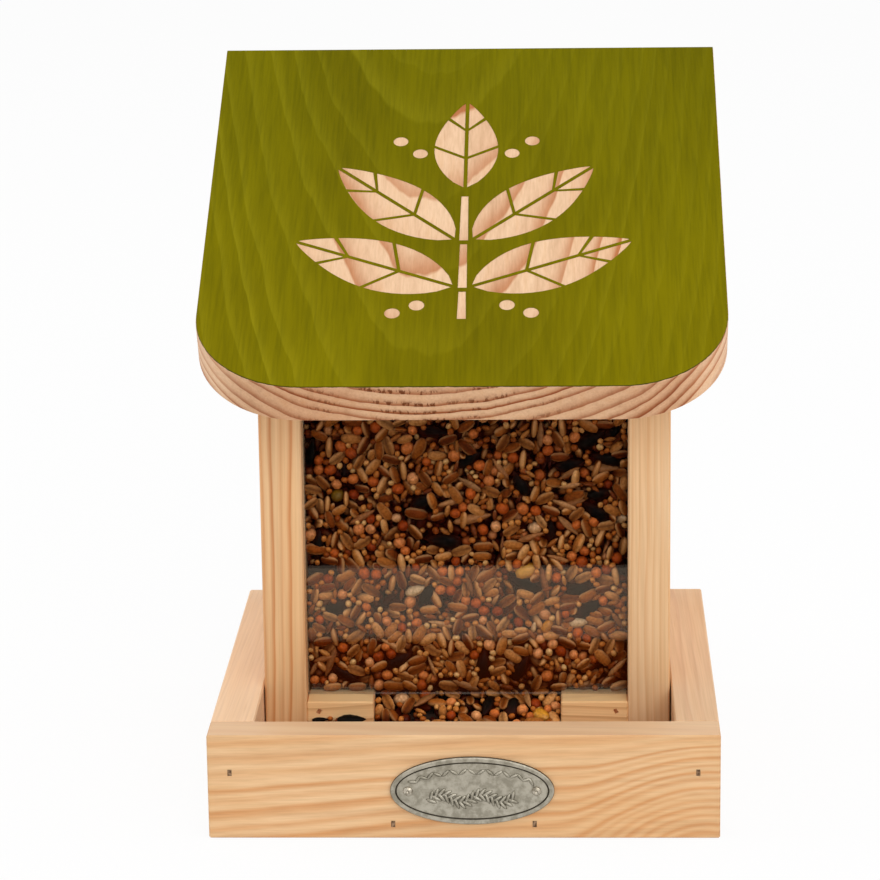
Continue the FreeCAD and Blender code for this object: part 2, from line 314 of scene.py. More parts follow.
# pine: yearly rings about a pith line, cut by the faces of each board
pineDefaults = dict(
    pale=srgb(234, 196, 150),
    warm=srgb(226, 182, 131),
    late=srgb(211, 149, 89),
    gap=4.2 * mm,  # from ring to ring
    wobble=5.0 * mm,  # slow bends of the rings
    ripple=0.8 * mm,  # quick ones
    drift=(0.45, 1.6),  # how often and how far the gap changes
    years=(0.5, 1.0),  # weakest and strongest ring
    contrast=0.75,
    shift=0.0,  # moves the pattern along the grain
    profile="crisp",
    knots=[],  # place, reach, and how far the rings swell there
    streak=1.0,  # how much the fine streaks show
    fleck=0.16,
    fibre=0.8,
    sawn=(0.83, 0.76, 0.71, 1.0),  # tones of a sawn end and of its rings
    sawnRing=(0.42, 0.25, 0.17, 1.0),
    endLine=0.35,  # how strongly the rings show on a sawn end
    torn=None,  # dark torn fibres on a sawn end: strength, middle and reach across
    tornColour=srgb(98, 44, 8),
    top=None,  # paler colour painted on the upper faces, as painted light from above
    rough=(0.54, 0.44),  # between the rings and on them
    shine=0.5,
    coat=None,  # plane, depth and colour of a coat that runs over the upper edges
)
# how dark a ring is from its inner to its outer side
ringProfiles = dict(
    crisp=[(0.0, 0.04), (0.3, 0.0), (0.62, 0.24), (0.88, 0.9), (0.95, 1.0), (1.0, 0.05)],
    soft=[(0.0, 0.3), (0.18, 0.04), (0.45, 0.1), (0.74, 0.7), (0.88, 1.0), (1.0, 0.3)],
    broad=[(0.0, 0.42), (0.2, 0.06), (0.38, 0.08), (0.62, 0.7), (0.82, 0.95), (1.0, 0.42)],
)
# noise along the grain: scale, detail, roughness and squeeze
grainNoise = dict(
    wobble=(16, 2, 0.5, 0.28),
    ripple=(120, 2, 0.5, 0.2),
    fibre=(1500, 3, 0.6, 0.012),
    streak=(260, 3, 0.55, 0.03),
    fleck=(700, 1, 0.5, 0.05),
    blotch=(22, 3, 0.55, 0.3),
)
# a top colour paints a board's upper faces paler, as painted light from above
blockPine = dict(gap=3.6 * mm, pale=srgb(255, 213, 156), warm=srgb(255, 201, 137), top=srgb(255, 222, 162))
# grain is the way the pith runs, pith a point on it, in metres
boardLooks = dict(
    front_rail=dict(
        grain=(1, -0.05, 0.03), pith=(0.07, -0.045, -0.028), gap=3.6 * mm, shift=0.3, contrast=0.95,
        profile="broad", knots=[((0.080, -0.083, -0.006), 50 * mm, -24 * mm)], top=srgb(236, 204, 168)),
    left_rail=dict(
        grain=(0.03, 1, 0), pith=(-0.150, 0, 0.02), gap=3.2 * mm, shift=1.1, contrast=0.12,
        profile="soft", pale=srgb(252, 218, 180), warm=srgb(249, 210, 168), streak=0.4),
    right_rail=dict(
        grain=(-0.02, 1, 0), pith=(0.02, 0, -0.03), gap=3.4 * mm, shift=2.3, contrast=0.4,
        pale=srgb(236, 199, 159), warm=srgb(230, 188, 142)),
    left_wall=dict(
        grain=(0.01, 0, 1), pith=(-0.13, -0.02, 0), gap=3.7 * mm, shift=3.2, contrast=1.0,
        profile="soft", pale=srgb(241, 202, 152), warm=srgb(236, 191, 138), late=srgb(212, 140, 78)),
    right_wall=dict(
        grain=(-0.01, 0.01, 1), pith=(0.12, -0.04, 0), gap=2.6 * mm, shift=4.4, contrast=0.65,
        pale=srgb(238, 202, 158), warm=srgb(230, 188, 138), late=srgb(214, 152, 92)),
    back_board=dict(grain=(0.02, 0, 1), pith=(0.02, 0.13, 0), gap=4.4 * mm, shift=5.1),
    floor_board=dict(grain=(1, 0.02, 0), pith=(0, 0.01, -0.06), gap=4.4 * mm, shift=6.6),
    left_stop_block=dict(grain=(1, 0, 0.04), pith=(0, -0.02, -0.02), shift=7.2, **blockPine),
    right_stop_block=dict(grain=(1, 0, -0.05), pith=(0, -0.02, 0.0), shift=8.3, **blockPine),
)


def grain(pen, look):
    # the sockets that pine and stained pine share
    turn = Vector(look["grain"]).rotation_difference(zWay)
    shift = zWay * look["shift"] - turn.to_matrix() @ Vector(look["pith"])
    place, normal = pen.coordinate("Object"), pen.coordinate("Normal")
    turned = pen.out("Mapping", {"Vector": place, "Rotation": turn.to_euler(), "Location": shift})
    wood = {name: pen.noise(turned, *values, (1, 1, squeeze))
            for name, (*values, squeeze) in grainNoise.items()}
    radius = pen.vector("LENGTH", pen.vector("MULTIPLY", turned, (1, 1, 0)))
    for spot, reach, swell in look["knots"]:
        radius = pen.plus(radius, pen.spread(pen.vector("DISTANCE", place, spot), 0, reach, swell, 0))
    for bend in ("wobble", "ripple"):
        wave = pen.calc("SUBTRACT", wood[bend], 0.5)
        radius = pen.plus(radius, pen.times(wave, 2 * look[bend]))
    rings = pen.calc("DIVIDE", radius, look["gap"])
    often, far = look["drift"]
    drift = pen.noise(pen.out("CombineXYZ", {0: rings, 2: look["shift"]}), often, 1)
    rings = pen.plus(rings, pen.times(drift, far))
    year = pen.add("TexWhiteNoise", {"W": pen.calc("FLOOR", rings)}, noise_dimensions="1D").outputs["Value"]
    profile = [(stop, (level, level, level, 1)) for stop, level in ringProfiles[look["profile"]]]
    late = pen.ramp(pen.calc("FRACT", rings), *profile)
    facing = pen.vector("DOT_PRODUCT", normal, Vector(look["grain"]).normalized())
    wood["place"] = place
    wood["late"] = pen.times(late, pen.spread(year, 0, 1, *look["years"]))
    wood["fleck"] = pen.spread(wood["fleck"], 0.68, 0.76)
    wood["endFace"] = pen.spread(pen.calc("ABSOLUTE", facing), 0.6, 0.9)
    # mask of the upward faces, where a top colour paints light
    wood["upper"] = pen.spread(pen.axis(normal, "Z"), 0.8, 0.95)
    return wood


def tornShare(pen, wood, look):
    strength, middle, reach = look["torn"]
    away = pen.calc("ABSOLUTE", pen.calc("SUBTRACT", pen.axis(wood["place"], "X"), middle))
    patches = pen.spread(pen.noise(wood["place"], 60, 1), 0.38, 0.56)
    patches = pen.times(patches, pen.spread(away, 0.4 * reach, reach, 1, 0.12))
    marks = pen.spread(pen.noise(wood["place"], 900, 2, 0.6, (1, 0.5, 0.4)), 0.5, 0.58)
    marks = pen.times(marks, pen.spread(wood["late"], 0.04, 0.3, 0, strength))
    return pen.times(marks, patches)


def coatShare(pen, wood, origin, normal, depth):
    # 1 from just below the plane to a ragged line at about the depth
    below = pen.calc("SUBTRACT", origin.dot(normal), pen.vector("DOT_PRODUCT", wood["place"], normal))
    ragged = pen.plus(below, pen.times(pen.noise(wood["place"], 400, 3), depth))
    under = pen.calc("GREATER_THAN", below, 0.01 * mm)
    return pen.times(under, pen.spread(ragged, depth * 1.4, depth * 1.6, 1, 0))


def pine(name, look):
    look = {**pineDefaults, **look}
    material, pen = newMaterial(name)
    wood = grain(pen, look)
    late = wood["late"]
    colour = pen.mix(pen.spread(wood["blotch"], 0.3, 0.7), look["pale"], look["warm"])
    colour = pen.mix(pen.times(late, look["contrast"]), colour, look["late"])
    shade = pen.ramp(wood["streak"], (0.25, srgb(238, 232, 226)), (0.5, white), (0.8, srgb(246, 236, 222)))
    colour = pen.tone(colour, shade, look["streak"])
    colour = pen.mix(pen.times(wood["fleck"], look["fleck"]), colour, look["late"])
    shade = pen.ramp(wood["fibre"], (0.3, srgb(240, 236, 230)), (0.6, white))
    colour = pen.tone(colour, shade, look["fibre"])
    sawn = pen.mix(pen.times(late, look["endLine"]), look["sawn"], look["sawnRing"])
    sawn = pen.tone(colour, sawn)
    if look["torn"]:
        sawn = pen.mix(tornShare(pen, wood, look), sawn, look["tornColour"])
    colour = pen.mix(wood["endFace"], colour, sawn)
    # painted light: upper faces are mixed towards a paler colour
    if look["top"]:
        colour = pen.mix(pen.times(wood["upper"], 0.5), colour, look["top"])
    if look["coat"]:
        *plane, depth, coatColour = look["coat"]
        colour = pen.mix(coatShare(pen, wood, *plane, depth), colour, coatColour)
    height = pen.plus(pen.times(wood["fibre"], 0.5), pen.times(late, 0.5))
    rough = pen.spread(late, 0, 1, *look["rough"])
    pen.paint(colour, rough, (height, 0.35, 0.12 * mm), look["shine"])
    return material


for board, look in boardLooks.items():
    dressNode(board, pine("pine_" + board, look))
print("boards dressed:", len(boardLooks))


# roof: bare pine below a thin coat of green stain with a leafy stencil left out
roofLook = dict(
    # the pith lies over the board, and comes nearer to it towards the back
    grain=(0.0, math.cos(math.radians(21)), math.sin(math.radians(21))),
    pith=(-0.012, -0.127, 0.242),
    gap=4.4 * mm,
    wobble=3.5 * mm,
    contrast=1.3,
    late=srgb(186, 116, 70),
    warm=srgb(226, 183, 146),
    pale=srgb(236, 200, 164),
    endLine=0.85,
    torn=(0.9, -9 * mm, 52 * mm),
    shine=0.12,
    shift=9.7,
)
stainLook = dict(
    coat=0.12 * mm,
    overhang=0.35 * mm,  # of the coat, over the eased edges at the front and the sides
    backInset=0.02 * mm,
    overEdge=0.4 * mm,  # how far the stain runs down the eased edges
    cornerRadius=36 * mm,
    arcSteps=24,
    ring=srgb(142, 131, 14),
    rings=(-75 * mm, 15 * mm, 0.85, 0.36),  # they show most at the left: from, to, and how much
    light=srgb(128, 118, 1),
    mid=srgb(120, 110, 0),
    deep=srgb(111, 101, 0),
    arris=srgb(78, 70, 0),
    ridge=(0.84, 0.88, 1.0, 1.0),  # the coat is deeper in tone towards the back
    brushed=[(330, srgb(244, 245, 236)), (900, srgb(234, 236, 226))],  # streaks: scale and tone
    rough=0.75,
    shine=0.03,
)
sprigLook = dict(
    foot=33 * mm,  # up from the front edge of the roof
    top=98 * mm,
    stemWidth=3.0 * mm,
    stemTaper=0.8,
    # place up the stem, lean from the stem in degrees, length and width
    leaves=[(50 * mm, 66, 58 * mm, 24 * mm), (75 * mm, 46, 56 * mm, 22 * mm),
            (103 * mm, 0, 48 * mm, 21 * mm)],
    leafSteps=8,
    leafRound=0.85,
    rib=1.3 * mm,  # bridge of stain down the middle of a leaf
    gap=2.0 * mm,  # bridge between stem and leaf
    veins=3,  # parts in each half of a leaf
    veinSlant=0.13,
    berries=[(16 * mm, 122 * mm), (23 * mm, 129 * mm), (15 * mm, 40 * mm), (23 * mm, 36 * mm)],
    berry=2.6 * mm,
    berrySides=24,
)


def roofPlane():
    # of the roof's top face: the middle of the front edge, the way up, the normal, half width and length
    mesh = nodes["roof_board"].data
    top = max((face for face in mesh.polygons if face.normal.z > 0.5), key=lambda face: face.area)
    normal = top.normal.copy()
    up = normal.cross(xWay)
    level = normal.dot(mesh.vertices[top.vertices[0]].co)
    rim = [vertex.co for vertex in mesh.vertices if abs(normal.dot(vertex.co) - level) < 0.01 * mm]
    rise = [up.dot(point) for point in rim]
    half = max(abs(point.x) for point in rim)
    return up * min(rise) + normal * level, up, normal, half, max(rise) - min(rise)


def arcPoints(centre, radius, start, stop, steps):
    turns = [math.radians(start + (stop - start) * step / steps) for step in range(steps + 1)]
    return [(centre[0] + radius * math.cos(turn), centre[1] + radius * math.sin(turn)) for turn in turns]


def leafEdge(leaf, share, side, look):
    # a point of the leaf's edge, or of its midrib where side is a half
    (across, up), lean, length, width = leaf
    roundness = look["leafRound"]
    ahead = Vector((math.sin(lean), math.cos(lean)))
    beside = Vector((ahead.y, -ahead.x)) * math.copysign(1, side)
    bulge = width / 2 * math.sin(math.pi * share ** roundness) ** roundness if abs(side) == 1 else 0
    return tuple(Vector((across, up)) + ahead * length * share + beside * (look["rib"] / 2 + bulge))


def leafHoles(leaf, look):
    # each half is cut into parts by slanting veins
    parts, steps, slant = look["veins"], look["leafSteps"], look["veinSlant"]
    slit = look["rib"] / leaf[2]
    holes = []
    for side in (-1, 1):
        for part in range(parts):
            last = part == parts - 1
            start, stop = part / parts + slit * (part > 0), (part + 1) / parts
            outStart = start + slant if part else 0.0
            outStop = 1.0 if last else stop + slant
            edge = [leafEdge(leaf, outStart + (outStop - outStart) * step / steps, side, look)
                    for step in range(steps + 1)]
            rib = [leafEdge(leaf, share, side / 2, look) for share in (stop, start)]
            holes.append(edge + rib[last:])
    return holes


def sprigHoles(look):
    half = look["stemWidth"] / 2
    thin = half * look["stemTaper"]
    holes = []
    knots = [look["foot"], *[leaf[0] - look["gap"] / 2 for leaf in look["leaves"][:-1]], look["top"]]
    for low, high in zip(knots, knots[1:]):
        top = high - (look["gap"] if high != look["top"] else 0)
        holes.append([(-half, low), (half, low), (thin, top), (-thin, top)])
    for up, lean, length, width in look["leaves"]:
        for side in (-1, 1) if lean else (1,):
            start = side * (half + look["gap"]) if lean else 0.0
            holes += leafHoles(((start, up), math.radians(lean) * side, length, width), look)
    gaps = look["berrySides"] - 1
    for across, up in look["berries"]:
        for side in (-1, 1):
            holes.append(arcPoints((side * across, up), look["berry"], 0, 360 * gaps / (gaps + 1), gaps))
    return holes


def greenStain(look):
    material, pen = newMaterial("greenStain")
    wood = grain(pen, {**pineDefaults, **roofLook})
    colour = pen.ramp(wood["blotch"], (0.3, look["deep"]), (0.5, look["mid"]), (0.72, look["light"]))
    share = pen.spread(pen.axis(wood["place"], "X"), *look["rings"])
    colour = pen.mix(pen.times(wood["late"], share), colour, look["ring"])
    for scale, dull in look["brushed"]:
        streaks = pen.noise(wood["place"], scale, 3, 0.6, (1, 0.05, 0.05))
        colour = pen.tone(colour, pen.ramp(streaks, (0.32, dull), (0.58, white)))
    low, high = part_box("roof_board")
    back = pen.spread(pen.axis(wood["place"], "Y"), low.y, high.y)
    colour = pen.mix(back, colour, pen.tone(colour, look["ridge"]))
    height = pen.plus(wood["fibre"], pen.times(wood["late"], 0.6))
    pen.paint(colour, look["rough"], (height, 0.3, 0.1 * mm), look["shine"])
    return material


def makeRoof(look):
    origin, up, normal, half, length = roofPlane()
    coat = (origin, normal, look["overEdge"], look["arris"])
    dressNode("roof_board", pine("pine_roof_board", {**roofLook, "coat": coat}))

    edge, radius = half + look["overhang"], look["cornerRadius"]
    low, high = -look["overhang"], length - look["backInset"]
    outline = []
    for centre, start in ((radius - edge, 180), (edge - radius, 270)):
        outline += arcPoints((centre, low + radius), radius, start, start + 90, look["arcSteps"])
    outline += [(edge, high), (-edge, high)]
    curve = bpy.data.curves.new("stain", "CURVE")
    curve.dimensions = "2D"
    curve.fill_mode = "BOTH"
    curve.extrude = look["coat"] / 2
    for points in [outline, *sprigHoles(sprigLook)]:
        spline = curve.splines.new("POLY")
        spline.points.add(len(points) - 1)
        for point, (across, along) in zip(spline.points, points):
            point.co = (across, along, 0, 1)
        spline.use_cyclic_u = True
    drawn = addObject("stainCurve", curve)
    mesh = bpy.data.meshes.new_from_object(drawn.evaluated_get(bpy.context.evaluated_depsgraph_get()))
    bpy.data.objects.remove(drawn)
    axes = Matrix((xWay, up, normal)).transposed().to_4x4()
    mesh.transform(Matrix.Translation(origin + normal * look["coat"] / 2) @ axes)
    addPiece("roof_stain", mesh, greenStain(look), "roof", "green_stain")


makeRoof(stainLook)
print("roof stained")


# clear pane, with a dull sawn edge
paneLook = dict(tint=srgb(243, 244, 246), mirror=0.04, rough=0.01, sawn=srgb(214, 206, 192), haze=0.18)


def clearPane(look):
    material, pen = newMaterial("clearAcrylic")
    through = pen.out("BsdfTransparent", {"Color": look["tint"]})
    mirror = pen.out("BsdfGlossy", {"Color": white, "Roughness": look["rough"]})
    glance = pen.calc("POWER", pen.add("LayerWeight").outputs["Facing"], 5.0)
    share = pen.plus(look["mirror"], pen.times(glance, 1 - look["mirror"]))
    face = pen.mixShader(share, through, mirror)
    edge = pen.mixShader(look["haze"], through, pen.out("BsdfDiffuse", {"Color": look["sawn"]}))
    flat = pen.spread(pen.calc("ABSOLUTE", pen.axis(pen.coordinate("Normal"), "Y")), 0.4, 0.6)
    pen.close(pen.mixShader(flat, edge, face))
    return material


dressNode("front_pane", clearPane(paneLook))
print("pane glazed")


# metal
metalLooks = dict(
    darkSteel=dict(light=srgb(166, 136, 108), dark=srgb(104, 80, 60), rough=0.6, scale=900, grit=0.3),
    rustySteel=dict(light=srgb(224, 164, 116), dark=srgb(176, 118, 78), rough=0.7, scale=900, grit=0.3),
    brightSteel=dict(light=srgb(196, 188, 172), dark=srgb(140, 131, 115), rough=0.3, scale=700, grit=0.1),
    zincPlate=dict(light=srgb(205, 205, 200), dark=srgb(160, 160, 158), rough=0.35, scale=500, grit=0.2),
)


def metal(name, look):
    material, pen = newMaterial(name)
    place = pen.coordinate("Object")
    cloud = pen.noise(place, look["scale"], 4, 0.6)
    colour = pen.mix(pen.spread(cloud, 0.35, 0.65), look["dark"], look["light"])
    if "tarnish" in look:  # darker where the relief lies deep
        colour = pen.mix(pen.spread(pen.axis(place, "Y"), *look["relief"]), colour, look["tarnish"])
    rough, patches = look["rough"], pen.noise(place, look["scale"] * 3)
    rough = pen.spread(patches, 0.3, 0.7, rough * 0.85, rough * 1.15)
    pen.paint(colour, rough, (cloud, look["grit"], 0.06 * mm), metallic=1.0)
    return material


metals = {name: metal(name, look) for name, look in metalLooks.items()}
for name in nodes:
    if name.endswith("brads"):
        dressNode(name, metals["rustySteel" if "block" in name else "darkSteel"])
    if "hinge" in name and "screws" not in name:
        dressNode(name, metals["zincPlate"])


# what repeats is set out by one node tree, on points with a turn and a size
def scatterTree():
    tree = bpy.data.node_groups.new("setOut", "GeometryNodeTree")
    sockets = {}
    kinds = dict(Geometry="Geometry", Form="Object", Size="Float", Finish="Material")
    for name, kind in kinds.items():
        socket = tree.interface.new_socket(name, in_out="INPUT", socket_type="NodeSocket" + kind)
        sockets[name] = socket.identifier
    tree.interface.new_socket("Geometry", in_out="OUTPUT", socket_type="NodeSocketGeometry")
    pen = NodePen(tree)
    given = pen.add("NodeGroupInput").outputs
    turn, swell = [pen.out("GeometryNodeInputNamedAttribute", {"Name": name}, data_type="FLOAT_VECTOR")
                   for name in ("turn", "swell")]
    planted = pen.out("GeometryNodeInstanceOnPoints", {
        "Points": given["Geometry"],
        "Instance": pen.add("GeometryNodeObjectInfo", {"Object": given["Form"]}).outputs["Geometry"],
        "Rotation": pen.out("FunctionNodeEulerToRotation", {0: turn}),
        "Scale": pen.out("VectorMath", {0: swell, "Scale": given["Size"]}, operation="SCALE"),
    })
    real = pen.out("GeometryNodeRealizeInstances", {"Geometry": planted})
    finished = pen.out("GeometryNodeSetMaterial", {"Geometry": real, "Material": given["Finish"]})
    pen.add("NodeGroupOutput", {"Geometry": finished})
    return tree, sockets


setOut = scatterTree()


def scatter(name, form, finish, rows):
    # rows of place, turn and size, with any other values that the finish reads, made into one plain mesh
    cloud = bpy.data.meshes.new(name + "Points")
    cloud.from_pydata([row["place"] for row in rows], [], [])
    for label in rows[0]:
        values = np.array([row[label] for row in rows], float)
        kind, field = ("FLOAT_VECTOR", "vector") if values.ndim == 2 else ("FLOAT", "value")
        cloud.attributes.new(label, kind, "POINT").data.foreach_set(field, values.ravel())
    source = addObject(name + "Form", form)
    holder = addObject(name + "Points", cloud)
    tree, sockets = setOut
    modifier = holder.modifiers.new("setOut", "NODES")
    modifier.node_group = tree
    modifier[sockets["Form"]] = source
    modifier[sockets["Size"]] = 1.0
    modifier[sockets["Finish"]] = finish
    graph = bpy.context.evaluated_depsgraph_get()
    mesh = bpy.data.meshes.new_from_object(
        holder.evaluated_get(graph), preserve_all_data_layers=True, depsgraph=graph)
    for made in (source, holder):
        bpy.data.objects.remove(made)
    for label in ("place", "turn", "swell"):
        mesh.attributes.remove(mesh.attributes[label])
    mesh.name = name
    return mesh


# oval plate: a flat rim, a cut line, and a leaf border over a vine in low relief
plateLook = dict(
    steps=144,
    # inset from the edge and height above the rail, in millimetres
    section=[(0.0, 0.0), (0.0, 0.8), (0.15, 1.0), (0.5, 1.12), (1.6, 1.15), (1.75, 0.8), (2.05, 0.8),
             (2.2, 1.0), (6.0, 1.05), (9.0, 1.05)],
    leafSize=(1.9 * mm, 0.75 * mm, 0.42 * mm),
    leafSunk=0.05 * mm,
    border=17,
    borderArc=(28, 124),  # where it starts, and how far it runs, in degrees
    borderInset=5.0 * mm,
    borderLean=0.6,
    vine=8,
    vineHalf=13.5 * mm,
    vineDrop=2.6 * mm,
    vineWave=1.3 * mm,
    vineApart=0.9 * mm,
    vineLean=0.85,
    vineSway=0.5,
    vineLeaf=1.15,
    metal=dict(light=srgb(180, 174, 159), dark=srgb(148, 142, 127), rough=0.52, scale=420, grit=0.35,
               tarnish=srgb(70, 64, 54)),
    tarnished=(1.02 * mm, 0.8 * mm),  # heights between which the tarnish comes in
)


def ovalPoint(middle, wide, high, turn, height):
    return middle + Vector((wide * math.cos(turn), -height, high * math.sin(turn)))


def plateBlank(middle, halfWide, halfHigh, look):
    form = bmesh.new()
    turns = [2 * math.pi * step / look["steps"] for step in range(look["steps"])]
    rings = []
    for inset, height in look["section"]:
        wide, high = halfWide - inset * mm, halfHigh - inset * mm
        rings.append([form.verts.new(ovalPoint(middle, wide, high, turn, height * mm)) for turn in turns])
    bridge(form, rings, (rings[0], rings[-1]))
    return meshFromBmesh("plate", form, smooth=False)


def leafForm(name, sides=8, fullness=0.8, droop=0.6, ridge=0.6):
    # a small domed leaf, long in X, rising in Z from a flat back
    form = bmesh.new()
    rim = []
    for step in range(2 * sides):
        along = 1 - abs(step / sides - 1) * 2
        bulge = (1 - along * along) ** fullness * (1 if step < sides else -1)
        rim.append(form.verts.new((along, bulge, 0)))
    crown = [form.verts.new((along, 0, 1 - droop * along * along)) for along in (-ridge, 0, ridge)]
    form.faces.new(rim)
    for step in range(2 * sides):
        after = (step + 1) % (2 * sides)
        nearest = [min(crown, key=lambda point: abs(point.co.x - rim[index].co.x))
                   for index in (step, after)]
        form.faces.new(list(dict.fromkeys([rim[step], rim[after], nearest[1], nearest[0]])))
    return meshFromBmesh(name, form)


def plateLeaves(middle, halfWide, halfHigh, look):
    # a border along the upper edge and a waving vine below it
    top = look["section"][-1][1] * mm - look["leafSunk"]
    wide, high = halfWide - look["borderInset"], halfHigh - look["borderInset"]
    start, run = look["borderArc"]
    rows = []
    for step in range(look["border"]):
        turn = math.radians(start + run * step / (look["border"] - 1))
        heading = math.atan2(high * math.cos(turn), -wide * math.sin(turn))
        heading += look["borderLean"] * (1 if step % 2 else -1)
        rows.append((ovalPoint(middle, wide, high, turn, top), heading, 1.0))
    for step in range(2 * look["vine"] + 1):
        along = step / look["vine"] - 1
        rise = look["vineWave"] * math.sin(along * 2 * math.pi) - look["vineDrop"]
        place = middle + Vector((along * look["vineHalf"], -top, rise))
        for side in (-1, 1):
            heading = side * look["vineLean"] + look["vineSway"] * math.cos(along * 2 * math.pi)
            rows.append((place + zWay * side * look["vineApart"], heading, look["vineLeaf"]))
    facing = Matrix.Rotation(math.radians(90), 3, "X")
    size = Vector(look["leafSize"])
    return [dict(place=place, turn=(facing @ Matrix.Rotation(heading, 3, "Z")).to_euler(),
                 swell=size * scale) for place, heading, scale in rows]


def makePlate(look):
    low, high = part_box("oval_plate")
    middle = Vector(((low.x + high.x) / 2, high.y, (low.z + high.z) / 2))
    oval = middle, (high.x - low.x) / 2, (high.z - low.z) / 2
    relief = [middle.y - height for height in look["tarnished"]]
    finish = metal("pewterCast", {**look["metal"], "relief": relief})
    plate = addPiece("plate_oval", plateBlank(*oval, look), finish, "feeder", "pewter")
    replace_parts(plate, "oval_plate")
    leaves = scatter("plate_leaves", leafForm("plateLeaf"), finish, plateLeaves(*oval, look))
    addPiece("plate_leaves", leaves, finish, "feeder", "pewter")


# nails and screws: heads set where the frame has them
# roundness, height of the edge, radii round the hollow and floor of the slot, as shares of the head's own
headShape = dict(roundness=0.7, edge=0.25, hollow=(0.36, 0.27), slotFloor=0.45)
screwLook = dict(way=(0, 1, 0), radius=1.75 * mm, height=1.3 * mm, slot=0.5 * mm, finish="zincPlate",
                 slotName="zinc_plate")
headLooks = dict(
    plate_nails=dict(way=(0, -1, 0), radius=1.6 * mm, height=1.0 * mm, slot=0, dimple=0.45,
                     finish="brightSteel", slotName="nail_steel", body="feeder"),
    lower_hinge_screws=dict(screwLook, body="feeder"),
    upper_hinge_screws=dict(screwLook, body="roof"),
)


def domedHead(name, look, sides=28, steps=6):
    # a round head rising in Z, with a driver slot along X or a hollow in the middle where it has one
    radius, height, edge = look["radius"], look["height"], headShape["edge"]
    outline = [(radius, 0)]
    for step in range(steps):
        turn = step / steps * math.pi / 2
        reach = radius * math.cos(turn) ** headShape["roundness"]
        outline.append((reach, height * (edge + (1 - edge) * math.sin(turn))))
    crown = height * look.get("dimple", 1)
    if "dimple" in look:
        brim, wall = headShape["hollow"]
        outline += [(radius * brim, height), (radius * wall, (height + crown) / 2)]
    form = bmesh.new()
    turns = [2 * math.pi * side / sides for side in range(sides)]
    rings = [[form.verts.new((reach * math.cos(turn), reach * math.sin(turn), up)) for turn in turns]
             for reach, up in outline]
    bridge(form, [*rings, [form.verts.new((0, 0, crown))]], rings[:1])
    if not look["slot"]:
        return meshFromBmesh(name, form)

    whole = meshFromBmesh(name + "Whole", form)
    half, floor = look["slot"] / 2, (0, 0, height * headShape["slotFloor"])
    cuts = [[(floor, (0, 0, 1))]]
    cuts += [[((0, side * half, 0), (0, -side, 0)), (floor, (0, 0, -1))] for side in (1, -1)]
    form = bmesh.new()
    for planes in cuts:
        part = bmesh.new()
        part.from_mesh(whole)
        for point, away in planes:
            found = bmesh.ops.bisect_plane(part, geom=part.verts[:] + part.edges[:] + part.faces[:],
                                           plane_co=point, plane_no=away, clear_outer=True)
            rim = [edge for edge in found["geom_cut"] if isinstance(edge, bmesh.types.BMEdge)]
            bmesh.ops.contextual_create(part, geom=rim)
        mesh = bpy.data.meshes.new("part")
        part.to_mesh(mesh)
        part.free()
        form.from_mesh(mesh)
    return meshFromBmesh(name, form, smooth=False)


def makeHeads(looks, turnStep=0.7, level=0.02 * mm):
    # a head at each point that stands out furthest, each turned a little more than the last
    for index, (node, look) in enumerate(looks.items()):
        way = Vector(look["way"])
        facing = way.to_track_quat("Z", "Y").to_matrix()
        points = [vertex.co for vertex in nodes[node].data.vertices]
        reach = max(way.dot(point) for point in points)
        tips = {tuple(round(value, 4) for value in point): point
                for point in points if way.dot(point) > reach - level}
        rows = []
        for count, tip in enumerate(sorted(tips)):
            turn = facing @ Matrix.Rotation(turnStep * count + index, 3, "Z")
            rows.append(dict(place=tips[tip] - way * look["height"], turn=turn.to_euler(), swell=(1, 1, 1)))
        finish = metals[look["finish"]]
        heads = scatter(node, domedHead(node, look), finish, rows)
        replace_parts(addPiece(node + "_heads", heads, finish, look["body"], look["slotName"]), node)
        print("heads set:", node, len(rows))


makePlate(plateLook)
makeHeads(headLooks)
print("metal dressed")
